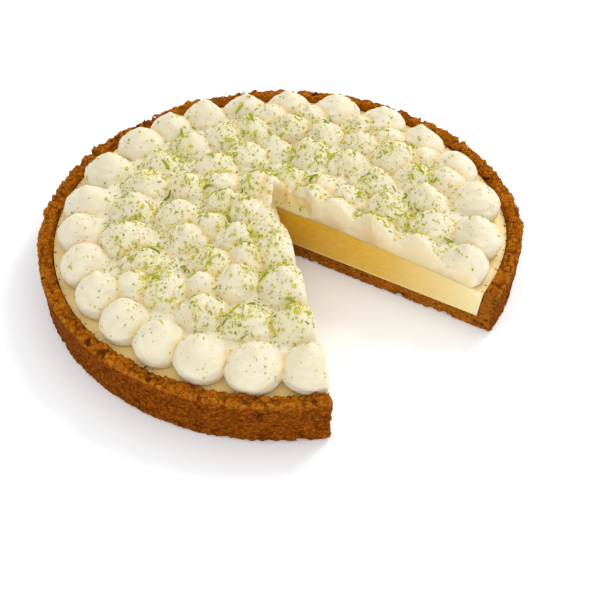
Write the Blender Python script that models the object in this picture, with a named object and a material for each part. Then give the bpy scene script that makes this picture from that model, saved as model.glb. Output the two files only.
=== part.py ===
"""A round lemon tart with a slice taken out, 24 cm across its rim, in metres, +Z up.

Three solids stand in one another: a crumbly crust shell, the lemon curd that fills it, and the piped cream
with lime zest that covers the curd. Every size along the tart is turned about the middle of its base, which
is the origin, and the same wedge takes the slice out of all three.
"""

import math
import random

import bmesh
import bpy
from mathutils import Vector, noise

MM = 0.001

# The crust shell
RIM_RADIUS = 120 * MM
FOOT_RADIUS = 118.3 * MM
RIM_HEIGHT = 25.6 * MM
RIM_WIDTH = 7.3 * MM
BASE_THICKNESS = 7.6 * MM
WALL_LEAN = 2.4 * MM
FOOT_ROUND = 1.0 * MM
RIM_ROUND = 1.2 * MM
WALL_LEVELS = (1.3 * MM, 6 * MM, 11 * MM, 16 * MM, 20.6 * MM, 24.4 * MM)
CRUMB_DEPTH = 0.9 * MM
WALL_CRUMB = 6 * MM
RIM_CRUMB = 5 * MM
CRACK_DEPTH = 2.0 * MM
CRACK_SHARE = 0.22
CRACK_FOOT = 20 * MM
CRACK_ON_WALL = 0.45
CRACK_INSIDE = 0.6
CRACK_SEED = 3
RIM_STEPS = 138

# The edge is pulled in where the slice was cut away on the right
PULL_DEPTH = 7.3 * MM
PULL_START_DEG = 8
PULL_LENGTH_DEG = 45
PULL_END_DEG = -79
PULL_RETURN_DEG = 42

# The curd, higher in the middle than at the rim
CURD_MIDDLE = 27.6 * MM
CURD_FALL = 5.2 * MM
CURD_FALL_RADIUS = 105 * MM
CURD_STEPS = 56
CURD_RINGS = (0.82, 0.56, 0.25)
GAP = 0.3 * MM

# The slice that is missing
NOTCH_TIP = Vector((-3.2 * MM, 11.5 * MM))
LEFT_CUT_DEG = -78.9
RIGHT_CUT_DEG = -31.4
CUT_REACH = 160 * MM
CUT_STEPS = 34
CUT_LEVELS = (-10 * MM, -1 * MM, 2.4 * MM, 5 * MM, 7.7 * MM, 15 * MM, 21 * MM, 28 * MM, 70 * MM)
CUT_CRAG = 0.55 * MM
CRAG_ALONG = 5 * MM
CRAG_UP = 3 * MM

# The cream: one layer, with domes piped in rings that lie a little towards the front
LAYER_THICKNESS = 9.4 * MM
LAYER_INSET = 3.5 * MM
LAYER_SINK = 3 * MM
LAYER_EDGE = 0.7
LAYER_RINGS = (0.97, 0.58, 0.24)
LAYER_STEPS = 24
RING_SHIFT = 4.0 * MM
OUTER_RING = 96.6 * MM
OUTER_START_DEG = 277.2
OUTER_RUNS = ((2, 13.7), (3, 12.2), (3, 13.4), (2, 15.7), (2, 12.3), (2, 14.6), (6, 16.2), (1, 12.3))
# Radius of each inner ring, the gaps between its domes, and how far its first dome lies from the right-hand cut
INNER_RINGS = (
    (73 * MM, 19, 0.5 * MM),
    (50 * MM, 13, 0.5 * MM),
    (26.5 * MM, 6, 0.5 * MM),
    (16 * MM, 3, 3.5 * MM),
)
INSIDE_LEFT_CUT = 7 * MM
DOLLOP_RADIUS = 12.2 * MM
DOLLOP_HEIGHT = 19.4 * MM
OUTER_OVERLAP = 0.54
NARROWEST_DOLLOP = 11.7 * MM
WIDEST_DOLLOP = 13.2 * MM
OUTER_HEIGHTS = (0.96, 1.03)
OUTER_LEAN = 0.9 * MM
INNER_RADII = (0.97, 1.12)
INNER_HEIGHTS = (0.88, 1.02)
INNER_LEAN = 2 * MM
RING_WANDER = 2.4 * MM
STEP_WANDER = 0.14
WANDER_AT_CUT = 0.4
SMALL_COUNT = 12
SMALL_REACH = 86 * MM
SMALL_TRIES = 1500
SMALL_RADII = (0.72, 0.84)
SMALL_HEIGHTS = (0.78, 0.92)
RIM_CLEARANCE = 0.8 * MM
# Share of the radius at each share of the height, from the foot to the soft peak
DOLLOP_PROFILE = (
    (-0.16, 0.76),
    (0.08, 0.92),
    (0.32, 1.0),
    (0.55, 0.93),
    (0.76, 0.68),
    (0.9, 0.33),
)
OUTER_SIDES = 12
INNER_SIDES = 9
CREAM_SEED = 11

# Zest: the largest shreds
ZEST_TRIES = 41
ZEST_LENGTH = 5.2 * MM
ZEST_WIDTH = 1.3 * MM
ZEST_THICKNESS = 1.1 * MM
ZEST_LIFT = 0.1 * MM
ZEST_STATIONS = 4
ZEST_TAPER = 0.45
ZEST_BEND = 0.7
ZEST_REACH = 88 * MM
ZEST_CUT_MARGIN = 9 * MM
ZEST_SEED = 5


def clear_scene():
    for obj in list(bpy.data.objects):
        bpy.data.objects.remove(obj, do_unlink=True)


def smooth_step(value):
    value = min(max(value, 0.0), 1.0)
    return value * value * (3 - 2 * value)


def turned_degrees(angle):
    """The angle in degrees, from -180 to 180."""
    return (math.degrees(angle) + 180) % 360 - 180


def edge_pull(angle):
    """How far the edge lies inside a true circle. It grows towards the right-hand cut."""
    degrees = turned_degrees(angle)
    rise = smooth_step((PULL_START_DEG - degrees) / PULL_LENGTH_DEG)
    fade = smooth_step((degrees - PULL_END_DEG) / PULL_RETURN_DEG)
    return PULL_DEPTH * rise * fade


def unit(angle):
    return Vector((math.cos(angle), math.sin(angle)))


def curd_top(radius):
    return CURD_MIDDLE - CURD_FALL * (radius / CURD_FALL_RADIUS) ** 2


def inner_wall(angle, height):
    """Radius of the shell's inner wall at a height: it leans out from the base to the rim."""
    share = (height - BASE_THICKNESS) / (RIM_HEIGHT - BASE_THICKNESS)
    return RIM_RADIUS - RIM_WIDTH - WALL_LEAN * (1 - share) - edge_pull(angle)


def curd_points(angle, lift):
    """Points of the curd's surface, raised by lift, from near the rim to near the middle."""
    reach = inner_wall(angle, RIM_HEIGHT)
    return [(reach * share, curd_top(reach * share) + lift) for share in CURD_RINGS]


def material(name, colour, roughness):
    made = bpy.data.materials.new(name)
    made.use_nodes = True
    shader = made.node_tree.nodes["Principled BSDF"]
    shader.inputs["Base Color"].default_value = (*colour, 1)
    shader.inputs["Roughness"].default_value = roughness
    shader.inputs["Metallic"].default_value = 0
    return made


def object_from(name, mesh_data, collection=None):
    """A new object from a bmesh, with its faces turned outwards."""
    bmesh.ops.recalc_face_normals(mesh_data, faces=mesh_data.faces)
    mesh = bpy.data.meshes.new(name)
    mesh_data.to_mesh(mesh)
    mesh_data.free()
    obj = bpy.data.objects.new(name, mesh)
    (collection or bpy.context.scene.collection).objects.link(obj)
    return obj


def turned_solid(name, profile_at, steps, collection=None):
    """A closed turned solid. profile_at(angle) gives (radius, height) from the bottom's edge to the top's."""
    data = bmesh.new()
    columns = []
    for step in range(steps):
        angle = math.tau * step / steps
        column = []
        for radius, height in profile_at(angle):
            column.append(data.verts.new((*(radius * unit(angle)), height)))
        columns.append(column)
    for step in range(steps):
        here = columns[step]
        there = columns[(step + 1) % steps]
        for row in range(len(here) - 1):
            data.faces.new((here[row], there[row], there[row + 1], here[row + 1]))
    data.faces.new([column[0] for column in reversed(columns)])
    data.faces.new([column[-1] for column in columns])
    return object_from(name, data, collection)


def make_cutter(obj):
    obj.hide_render = True
    obj.display_type = "WIRE"
    return obj


def wedge_cutter(name, crag):
    """The missing slice as a tall wedge. Its two cut faces are grids, so that crag can roughen them."""
    data = bmesh.new()
    grids = []
    for side, degrees in enumerate((LEFT_CUT_DEG, RIGHT_CUT_DEG)):
        direction = unit(math.radians(degrees))
        across = Vector((-direction.y, direction.x))
        grid = []
        for step in range(CUT_STEPS + 1):
            along = CUT_REACH * step / CUT_STEPS
            roughness = crag if step else 0.0
            column = []
            for level in CUT_LEVELS:
                relief = noise.noise(Vector((along / CRAG_ALONG, level / CRAG_UP, 7.3 * side + 2.1)))
                point = NOTCH_TIP + direction * along + across * roughness * relief
                column.append(data.verts.new((point.x, point.y, level)))
            grid.append(column)
        grids.append(grid)
    left, right = grids
    for column in right[0]:
        data.verts.remove(column)
    right[0] = left[0]
    for grid in grids:
        for here, there in zip(grid, grid[1:]):
            for row in range(len(CUT_LEVELS) - 1):
                data.faces.new((here[row], there[row], there[row + 1], here[row + 1]))
    for row in range(len(CUT_LEVELS) - 1):
        data.faces.new((left[-1][row], right[-1][row], right[-1][row + 1], left[-1][row + 1]))
    for row in (0, -1):
        outline = [column[row] for column in left] + [column[row] for column in reversed(right[1:])]
        data.faces.new(outline)
    return make_cutter(object_from(name, data))


def cut_with(obj, cutter, name):
    modifier = obj.modifiers.new(name, "BOOLEAN")
    modifier.operation = "DIFFERENCE"
    modifier.object = cutter
    modifier.solver = "EXACT"


def shade_round(obj, sharp_degrees):
    obj.data.shade_smooth()
    obj.data.set_sharp_from_angle(angle=math.radians(sharp_degrees))


def crumb(angle, height, scale):
    """Uneven crumb relief, from -1 to 1, on the shell's surface."""
    arc = RIM_RADIUS / scale
    point = Vector((arc * math.cos(angle), arc * math.sin(angle), height / scale))
    return noise.noise(point)


def crack_depths():
    """The depth of the crack, if any, at each step round the rim."""
    draw = random.Random(CRACK_SEED)
    depths = []
    for _ in range(RIM_STEPS):
        cracked = draw.random() < CRACK_SHARE
        depths.append(CRACK_DEPTH * draw.uniform(0.5, 1) if cracked else 0.0)
    return depths


def make_crust():
    cracks = crack_depths()

    def profile(angle):
        step = round(angle / math.tau * RIM_STEPS) % RIM_STEPS
        pull = edge_pull(angle)
        crack = cracks[step]
        points = [(FOOT_RADIUS - pull - FOOT_ROUND, 0.0)]
        for level in WALL_LEVELS:
            radius = FOOT_RADIUS + (RIM_RADIUS - FOOT_RADIUS) * level / RIM_HEIGHT - pull
            relief = CRUMB_DEPTH * crumb(angle, level, WALL_CRUMB)
            notch = CRACK_ON_WALL * crack if level > CRACK_FOOT else 0.0
            points.append((radius + relief - notch, level))
        outer = RIM_RADIUS - pull
        inner = inner_wall(angle, RIM_HEIGHT)
        top = RIM_HEIGHT - crack + CRUMB_DEPTH * crumb(angle, RIM_HEIGHT, RIM_CRUMB)
        points.append((outer - RIM_ROUND, top))
        points.append(((outer + inner) / 2, top + CRUMB_DEPTH * crumb(angle, 2 * RIM_HEIGHT, RIM_CRUMB)))
        points.append((inner + RIM_ROUND / 2, RIM_HEIGHT - CRACK_INSIDE * crack - RIM_ROUND / 3))
        points.append((inner_wall(angle, curd_top(inner)), curd_top(inner)))
        points.append((inner_wall(angle, BASE_THICKNESS), BASE_THICKNESS))
        return points

    crust = turned_solid("crust", profile, RIM_STEPS)
    crust.data.materials.append(material("baked_crust", (0.47, 0.2, 0.055), 0.85))
    shade_round(crust, 40)
    return crust


def make_curd():
    def profile(angle):
        edge = inner_wall(angle, curd_top(FOOT_RADIUS)) - GAP
        foot = inner_wall(angle, BASE_THICKNESS) - GAP
        return [(foot, BASE_THICKNESS + GAP), (edge, curd_top(edge))] + curd_points(angle, 0.0)

    curd = turned_solid("lemon_curd", profile, CURD_STEPS)
    curd.data.materials.append(material("lemon_curd", (0.83, 0.6, 0.16), 0.35))
    shade_round(curd, 30)
    return curd


def past_cut(point, cut_degrees):
    """Distance of a place from a cut, more than nothing on the anticlockwise side of it."""
    direction = unit(math.radians(cut_degrees))
    offset = point - NOTCH_TIP
    return direction.x * offset.y - direction.y * offset.x


def on_tart(point, margin):
    """Whether a place lies further than the margin from the missing slice."""
    return past_cut(point, LEFT_CUT_DEG) < -margin or past_cut(point, RIGHT_CUT_DEG) > margin


def ring_place(ring_radius, angle):
    return unit(angle) * (ring_radius - RING_SHIFT * math.sin(angle) - edge_pull(angle))


def ring_end(ring_radius, cut_degrees, inside, turn):
    """The angle at which a ring, turned away from a cut, first lies inside the tart by a distance."""
    angle = math.radians(cut_degrees)
    while turn * past_cut(ring_place(ring_radius, angle), cut_degrees) < inside:
        angle += turn * math.radians(0.25)
    return angle


def outer_places():
    angle = OUTER_START_DEG
    places = [ring_place(OUTER_RING, math.radians(angle))]
    for count, gap in OUTER_RUNS:
        for _ in range(count):
            angle -= gap
            places.append(ring_place(OUTER_RING, math.radians(angle)))
    return places


def outer_dollops():
    """(centre, radius, height, lean) of each dome of the outer ring, as wide as its neighbours leave it."""
    draw = random.Random(CREAM_SEED)
    places = outer_places()
    made = []
    for index, place in enumerate(places):
        near = [places[i] for i in (index - 1, index + 1) if 0 <= i < len(places)]
        spacing = sum((place - other).length for other in near) / len(near)
        radius = min(max(OUTER_OVERLAP * spacing, NARROWEST_DOLLOP), WIDEST_DOLLOP)
        lean = Vector((draw.uniform(-1, 1), draw.uniform(-1, 1))) * OUTER_LEAN
        made.append((place, radius, DOLLOP_HEIGHT * draw.uniform(*OUTER_HEIGHTS), lean))
    return made


def inner_dollops():
    """(centre, radius, height, lean) of each dome inside the outer ring, from cut to cut."""
    draw = random.Random(CREAM_SEED + 1)
    made = []
    for ring_radius, gaps, inside in INNER_RINGS:
        start = ring_end(ring_radius, RIGHT_CUT_DEG, inside, 1)
        end = ring_end(ring_radius, LEFT_CUT_DEG, INSIDE_LEFT_CUT, -1) + math.tau
        step = (end - start) / gaps
        for index in range(gaps + 1):
            slack = WANDER_AT_CUT if index in (0, gaps) else 1.0
            angle = start + step * (index + slack * STEP_WANDER * draw.uniform(-1, 1))
            place = ring_place(ring_radius + slack * RING_WANDER * draw.uniform(-1, 1), angle)
            lean = Vector((draw.uniform(-1, 1), draw.uniform(-1, 1))) * INNER_LEAN
            radius = DOLLOP_RADIUS * draw.uniform(*INNER_RADII)
            made.append((place, radius, DOLLOP_HEIGHT * draw.uniform(*INNER_HEIGHTS), lean))
    return made


def small_dollops(dollops):
    """Smaller domes in the widest gaps between the others."""
    draw = random.Random(CREAM_SEED + 4)
    spots = []
    for _ in range(SMALL_TRIES):
        spot = SMALL_REACH * math.sqrt(draw.random()) * unit(draw.uniform(0, math.tau))
        if on_tart(spot, INSIDE_LEFT_CUT):
            spots.append(spot)
    centres = [dollop[0] for dollop in dollops]
    made = []
    for _ in range(SMALL_COUNT):
        gaps = [min((spot - centre).length for centre in centres) for spot in spots]
        gap = max(gaps)
        place = spots[gaps.index(gap)]
        centres.append(place)
        lean = Vector((draw.uniform(-1, 1), draw.uniform(-1, 1))) * INNER_LEAN
        radius = gap * draw.uniform(*SMALL_RADII)
        made.append((place, radius, DOLLOP_HEIGHT * draw.uniform(*SMALL_HEIGHTS), lean))
    return made


def dollop_solid(name, dollop, sides, collection, turn):
    """One piped dome: a turned profile whose upper part leans with its peak."""
    place, radius, height, lean = dollop
    foot = curd_top(place.length)
    data = bmesh.new()
    rows = []
    for high, wide in DOLLOP_PROFILE:
        share = max(high, 0.0) ** 2
        row = []
        for side in range(sides):
            angle = turn + math.tau * side / sides
            x = place.x + lean.x * share + wide * radius * math.cos(angle)
            y = place.y + lean.y * share + wide * radius * math.sin(angle)
            row.append(data.verts.new((x, y, foot + high * height)))
        rows.append(row)
    for lower, upper in zip(rows, rows[1:]):
        for side in range(sides):
            after = (side + 1) % sides
            data.faces.new((lower[side], lower[after], upper[after], upper[side]))
    peak = data.verts.new((place.x + lean.x, place.y + lean.y, foot + height))
    for side in range(sides):
        data.faces.new((rows[-1][side], rows[-1][(side + 1) % sides], peak))
    data.faces.new(list(reversed(rows[0])))
    return object_from(name, data, collection)


def make_layer(collection):
    """The cream between the domes, which ends under the outer ring."""

    def profile(angle):
        edge = ring_place(OUTER_RING, angle).length - LAYER_INSET
        bottom = CURD_MIDDLE - CURD_FALL - LAYER_SINK
        points = [(edge, bottom), (edge, curd_top(edge) + LAYER_EDGE * LAYER_THICKNESS)]
        for share in LAYER_RINGS:
            points.append((edge * share, curd_top(edge * share) + LAYER_THICKNESS))
        return points

    return turned_solid("cream_layer", profile, LAYER_STEPS, collection)


def dollop_height(point, dollop):
    """Height of a dome's surface above the base at a place, or nothing outside it."""
    place, radius, height, lean = dollop
    foot = curd_top(place.length)
    for (low, wide), (high, narrow) in reversed(list(zip(DOLLOP_PROFILE[2:], DOLLOP_PROFILE[3:]))):
        middle = place + lean * ((low + high) / 2) ** 2
        share = (point - middle).length / radius
        if share <= narrow:
            return foot + high * height
        if share <= wide:
            return foot + height * (high - (high - low) * (share - narrow) / (wide - narrow))
    return 0.0


def cream_height(point, dollops):
    layer = curd_top(point.length) + LAYER_THICKNESS
    return max([layer] + [dollop_height(point, dollop) for dollop in dollops])


def zest_shred(name, start, heading, bend, dollops, collection):
    """A curved strip of zest that follows the cream, half sunk in it."""
    data = bmesh.new()
    rows = []
    point = start
    for station in range(ZEST_STATIONS):
        along = unit(heading)
        across = Vector((-along.y, along.x)) * ZEST_WIDTH / 2
        if station in (0, ZEST_STATIONS - 1):
            across *= ZEST_TAPER
        height = cream_height(point, dollops) + ZEST_LIFT
        row = []
        for side, rise in ((-1, -0.5), (1, -0.5), (1, 0.5), (-1, 0.5)):
            x = point.x + side * across.x
            y = point.y + side * across.y
            row.append(data.verts.new((x, y, height + rise * ZEST_THICKNESS)))
        rows.append(row)
        point = point + along * ZEST_LENGTH / (ZEST_STATIONS - 1)
        heading += bend
    for here, there in zip(rows, rows[1:]):
        for corner in range(4):
            after = (corner + 1) % 4
            data.faces.new((here[corner], there[corner], there[after], here[after]))
    data.faces.new(rows[0])
    data.faces.new(list(reversed(rows[-1])))
    bmesh.ops.triangulate(data, faces=data.faces[:])
    return object_from(name, data, collection)


def make_zest(dollops, collection):
    """The largest shreds, spread evenly over the cream and kept off the missing slice."""
    draw = random.Random(ZEST_SEED)
    golden_turn = math.pi * (3 - math.sqrt(5))
    for index in range(1, ZEST_TRIES):
        angle = golden_turn * index + draw.uniform(-0.2, 0.2)
        start = ZEST_REACH * math.sqrt(index / ZEST_TRIES) * unit(angle)
        heading = draw.uniform(0, math.tau)
        bend = ZEST_BEND * draw.uniform(-1, 1)
        if on_tart(start, ZEST_CUT_MARGIN):
            zest_shred(f"zest_{index}", start, heading, bend, dollops, collection)


def clearance_cutter():
    """What the cream keeps clear of: the curd below it and the rim round it."""

    def profile(angle):
        wall = inner_wall(angle, RIM_HEIGHT) - RIM_CLEARANCE
        above = RIM_HEIGHT + CRUMB_DEPTH
        points = [(CUT_REACH, CUT_LEVELS[0]), (CUT_REACH, above), (wall, above)]
        return points + [(wall, curd_top(wall) + GAP)] + curd_points(angle, GAP)

    return make_cutter(turned_solid("curd_and_rim_room", profile, CURD_STEPS))


def apply_modifiers(obj):
    graph = bpy.context.evaluated_depsgraph_get()
    mesh = bpy.data.meshes.new_from_object(obj.evaluated_get(graph))
    obj.modifiers.clear()
    obj.data = mesh


def make_cream():
    """One solid: the layer, every dome and the zest, joined."""
    pieces = bpy.data.collections.new("cream_pieces")
    bpy.context.scene.collection.children.link(pieces)
    outer = outer_dollops()
    inner = inner_dollops()
    inner += small_dollops(outer + inner)
    draw = random.Random(CREAM_SEED + 2)
    for index, dollop in enumerate(outer):
        dollop_solid(f"outer_dollop_{index}", dollop, OUTER_SIDES, pieces, draw.uniform(0, 1))
    for index, dollop in enumerate(inner):
        dollop_solid(f"inner_dollop_{index}", dollop, INNER_SIDES, pieces, draw.uniform(0, 1))
    make_zest(outer + inner, pieces)
    own = bpy.data.collections.new("cream_layers")
    bpy.context.scene.collection.children.link(own)
    cream = make_layer(own)
    cream.name = "cream"
    join = cream.modifiers.new("join", "BOOLEAN")
    join.operation = "UNION"
    join.operand_type = "COLLECTION"
    join.collection = pieces
    join.solver = "EXACT"
    bpy.context.view_layer.update()
    apply_modifiers(cream)
    for obj in list(pieces.objects):
        bpy.data.objects.remove(obj, do_unlink=True)
    cream.data.materials.clear()
    cream.data.materials.append(material("piped_cream", (0.93, 0.87, 0.7), 0.55))
    shade_round(cream, 55)
    return cream


def main():
    clear_scene()
    crust = make_crust()
    curd = make_curd()
    cream = make_cream()
    clean_wedge = wedge_cutter("slice_room", 0.0)
    crumbly_wedge = wedge_cutter("slice_room_crumbly", CUT_CRAG)
    cut_with(crust, crumbly_wedge, "slice")
    cut_with(curd, clean_wedge, "slice")
    cut_with(cream, clearance_cutter(), "clearance")
    cut_with(cream, clean_wedge, "slice")


main()
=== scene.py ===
"""Looks of a round lemon tart with a slice taken out, in metres, +Z up.

The crust and the cream are shaped on a grid of distances, less than nothing inside the form,
and then skinned. The curd is a curved block. The zest lies on the finished cream.
"""

import math
import random

import bpy
import numpy as np
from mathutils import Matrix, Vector, noise
from mathutils.bvhtree import BVHTree


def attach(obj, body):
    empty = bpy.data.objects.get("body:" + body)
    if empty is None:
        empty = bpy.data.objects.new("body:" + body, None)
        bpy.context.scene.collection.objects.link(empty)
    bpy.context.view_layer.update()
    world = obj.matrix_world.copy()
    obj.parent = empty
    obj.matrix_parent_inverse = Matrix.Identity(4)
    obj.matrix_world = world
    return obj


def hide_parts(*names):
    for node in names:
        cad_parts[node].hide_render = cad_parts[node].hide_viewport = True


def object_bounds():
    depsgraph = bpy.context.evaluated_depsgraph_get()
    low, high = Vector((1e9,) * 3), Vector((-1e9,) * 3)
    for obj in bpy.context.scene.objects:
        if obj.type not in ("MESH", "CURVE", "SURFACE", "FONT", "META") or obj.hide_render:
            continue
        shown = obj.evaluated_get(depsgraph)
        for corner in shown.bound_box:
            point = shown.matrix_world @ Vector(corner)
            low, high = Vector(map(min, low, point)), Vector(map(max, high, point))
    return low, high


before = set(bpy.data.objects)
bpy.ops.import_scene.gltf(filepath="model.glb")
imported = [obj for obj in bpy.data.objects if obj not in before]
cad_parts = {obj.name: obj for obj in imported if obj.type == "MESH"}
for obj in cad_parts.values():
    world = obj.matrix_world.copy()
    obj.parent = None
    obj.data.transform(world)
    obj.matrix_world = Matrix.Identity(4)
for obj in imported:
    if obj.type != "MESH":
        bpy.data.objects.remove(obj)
cad_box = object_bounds()

MM = 0.001

# The crust shell
RIM_RADIUS = 120 * MM
FOOT_RADIUS = 118.3 * MM
RIM_HEIGHT = 25.6 * MM
RIM_WIDTH = 7.3 * MM
BASE_THICKNESS = 7.6 * MM
WALL_LEAN = 2.4 * MM
RIM_ROUND = 1.2 * MM
RIM_CRUMB = 5 * MM
CRUMB_DEPTH = 0.9 * MM
CRACK_DEPTH = 2.0 * MM
CRACK_SHARE = 0.22
CRACK_SEED = 3
RIM_STEPS = 138
CRACK_HALF_WIDTH = 0.9 * MM
CRACK_WOBBLE = 1.3 * MM
CRACK_WOBBLE_SIZE = 2.5 * MM
CRACK_BOTTOM = 19 * MM
INNER_ROUND = 0.8 * MM

# The crust's crumb: the distance over which each kind of unevenness changes
LUMP_SIZE = (3.4 * MM, 3.4 * MM, 2.6 * MM)
GRAIN_SIZE = 1.5 * MM
PIT_SIZE = (5.5 * MM, 5.5 * MM, 1.9 * MM)
FINE_PIT_SIZE = 1.7 * MM
PIT_DEPTH = 1.1 * MM
BROAD_SIZE = (9 * MM, 9 * MM, 6 * MM)
TOP_WAVE_SIZE = 4.2 * MM
DEEPEST_CRUMB = 2.8 * MM

# The edge is pulled in where the slice was cut away on the right
PULL_DEPTH = 7.3 * MM
PULL_START_DEG = 8
PULL_LENGTH_DEG = 45
PULL_END_DEG = -79
PULL_RETURN_DEG = 42

# The curd, higher in the middle than at the rim
CURD_MIDDLE = 27.6 * MM
CURD_FALL = 5.2 * MM
CURD_FALL_RADIUS = 105 * MM
CURD_SHARES = (0, 0.08, 0.16, 0.25, 0.34, 0.43, 0.52, 0.61, 0.69)
CURD_SHARES += (0.76, 0.82, 0.86, 0.9, 0.93, 0.96, 0.98, 1)
CURD_TURNS = 260
CURD_RISES = 12

# The slice that is missing
NOTCH_TIP = Vector((-3.2 * MM, 11.5 * MM))
LEFT_CUT_DEG = -78.9
RIGHT_CUT_DEG = -31.4

# The cream: one layer, with domes piped in rings that lie a little towards the front
LAYER_THICKNESS = 9.4 * MM
LAYER_INSET = 3.5 * MM
RING_SHIFT = 4.0 * MM
OUTER_RING = 96.6 * MM
OUTER_START_DEG = 277.2
OUTER_RUNS = ((2, 13.7), (3, 12.2), (3, 13.4), (2, 15.7), (2, 12.3), (2, 14.6), (6, 16.2), (1, 12.3))
INNER_RINGS = (
    (73 * MM, 19, 0.5 * MM),
    (50 * MM, 13, 0.5 * MM),
    (26.5 * MM, 6, 0.5 * MM),
    (16 * MM, 3, 3.5 * MM),
)
INSIDE_LEFT_CUT = 7 * MM
DOLLOP_RADIUS = 12.2 * MM
DOLLOP_HEIGHT = 19.4 * MM
OUTER_OVERLAP = 0.54
NARROWEST_DOLLOP = 11.7 * MM
WIDEST_DOLLOP = 13.2 * MM
OUTER_HEIGHTS = (0.96, 1.03)
OUTER_LEAN = 0.9 * MM
INNER_RADII = (0.97, 1.12)
INNER_HEIGHTS = (0.88, 1.02)
INNER_LEAN = 2 * MM
RING_WANDER = 2.4 * MM
STEP_WANDER = 0.14
WANDER_AT_CUT = 0.4
RIM_CLEARANCE = 0.8 * MM
CREAM_SEED = 11
OUTER_BLEND = 0.5 * MM
INNER_BLEND = 0.8 * MM
SMALL_COUNT = 12
SMALL_REACH = 86 * MM
SMALL_TRIES = 1500
SMALL_RADII = (0.72, 0.84)
SMALL_HEIGHTS = (0.78, 0.92)

# A dome's outline: where it is widest, how its bulb closes, and the flank of its peak
WIDEST_AT = 0.3
BULB_BELOW = 0.62
BULB_ABOVE = 0.74
PEAK_BLEND = 0.3
PEAKS = (1.55, 2.0)
OVALS = (0.94, 1.06)
TIP_ROUND = 0.3 * MM
PROFILE_SHARES = np.linspace(-0.4, 1.3, 341)

# The cream's unevenness: the distance over which each kind changes, and how far it stands out
SAG_SIZE = 6.5 * MM
SAG_DEPTH = 0.5 * MM
WRINKLE_SIZE = (5 * MM, 5 * MM, 1.6 * MM)
WRINKLE_DEPTH = 0.36 * MM
FOLD_SIZE = (5 * MM, 5 * MM, 2.6 * MM)
FOLD_DEPTH = 0.45 * MM
BEAD_SIZE = 1.5 * MM
BEAD_DEPTH = 0.07 * MM

# Where the cream tore at the tip
TEAR_MIDDLE = 9 * MM
TEAR_REACH = 9 * MM
TEAR_BOTTOM = 27.5 * MM
TEAR_DEPTH = 3.6 * MM
TEAR_SIZE = (3.5 * MM, 3.5 * MM, 5 * MM)

# Air holes in the right-hand cut face: the distance along the cut, the height and the number
HOLE_CLUSTERS = (
    (45 * MM, 31 * MM, 4),
    (70 * MM, 34 * MM, 6),
    (92 * MM, 31 * MM, 9),
    (30 * MM, 36 * MM, 2),
)
HOLE_REACH = 3 * MM

# Zest: the largest shreds
ZEST_TRIES = 41
ZEST_LENGTH = 5.2 * MM
ZEST_WIDTH = 1.3 * MM
ZEST_THICKNESS = 1.1 * MM
ZEST_BEND = 0.7
ZEST_REACH = 88 * MM
ZEST_CUT_MARGIN = 9 * MM
ZEST_SEED = 5

# Fine zest and crumbs
SPECK_COUNT = 7400
SPECK_REACH = 112 * MM
STEEPEST_RISE = 0.15
SHRED_COUNT = 260
CRUMB_COUNT = 150
CRUMB_SEED = 6
BLOCK_FACES = ((0, 3, 2, 1), (4, 5, 6, 7), (0, 1, 5, 4), (1, 2, 6, 5), (2, 3, 7, 6), (3, 0, 4, 7))
BLOCK_CORNERS = 8
STAIN_CELL = 0.8 * MM
STAIN_REACH = 120 * MM

# The grids that the forms are shaped on, how finely, and how many triangles each keeps
LATTICE = 32
CRUST_GRID = ((-122 * MM, -122 * MM, -1.5 * MM), (122 * MM, 122 * MM, 28.5 * MM))
CREAM_GRID = ((-118 * MM, -118 * MM, 19 * MM), (118 * MM, 118 * MM, 50 * MM))
CRUST_STEP = 0.65 * MM
CREAM_STEP = 0.72 * MM
CRUST_TRIANGLES = 190000
CREAM_TRIANGLES = 185000
TOP_MARGIN = 0.05 * MM
TOP_ROOM = 0.8 * MM
ABOVE_ALL = 80 * MM

# The studio
CAMERA_LENS = 72
CAMERA_SENSOR = 36
CAMERA_PLACE = (0.0054505, -0.4563562, 0.405655)
CAMERA_DOWN_DEG = 43.3998
CAMERA_TURN_DEG = -0.4405
FLOOR_SIZE = 4
FLOOR_HEIGHT = -0.0002
AIR_COLOUR = (0.97, 0.985, 1, 1)
AIR_STRENGTH = 0.95
WINDOW_PLACE = (0.7, 0.75, 1.0)
WINDOW_SIZE = 0.55
WINDOW_POWER = 8.2
FILL_PLACE = (0.05, -1.0, 0.24)
FILL_SIZE = 0.9
FILL_POWER = 2.6


def unit(angle):
    return Vector((math.cos(angle), math.sin(angle)))


def smooth_step(value):
    value = np.clip(value, 0.0, 1.0)
    return value * value * (3 - 2 * value)


def rising(value, start, span):
    """Nothing up to start, and then softly up to 1 over a span."""
    return smooth_step((value - start) / span)


def edge_pull(angle):
    """How far the edge lies inside a true circle. It grows towards the right-hand cut."""
    degrees = (np.degrees(angle) + 180) % 360 - 180
    rise = smooth_step((PULL_START_DEG - degrees) / PULL_LENGTH_DEG)
    fade = smooth_step((degrees - PULL_END_DEG) / PULL_RETURN_DEG)
    return PULL_DEPTH * rise * fade


def curd_top(radius):
    return CURD_MIDDLE - CURD_FALL * (radius / CURD_FALL_RADIUS) ** 2


def inner_wall(angle, height):
    """Radius of the shell's inner wall at a height: it leans out from the base to the rim."""
    share = (height - BASE_THICKNESS) / (RIM_HEIGHT - BASE_THICKNESS)
    return RIM_RADIUS - RIM_WIDTH - WALL_LEAN * (1 - share) - edge_pull(angle)


def along_cut(x, y, cut_degrees):
    """Distance from the notch's tip along a cut."""
    direction = unit(math.radians(cut_degrees))
    return (x - NOTCH_TIP.x) * direction.x + (y - NOTCH_TIP.y) * direction.y


def past_cut(x, y, cut_degrees):
    """Distance from a cut, more than nothing on the anticlockwise side of it."""
    direction = unit(math.radians(cut_degrees))
    return direction.x * (y - NOTCH_TIP.y) - direction.y * (x - NOTCH_TIP.x)


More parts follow.
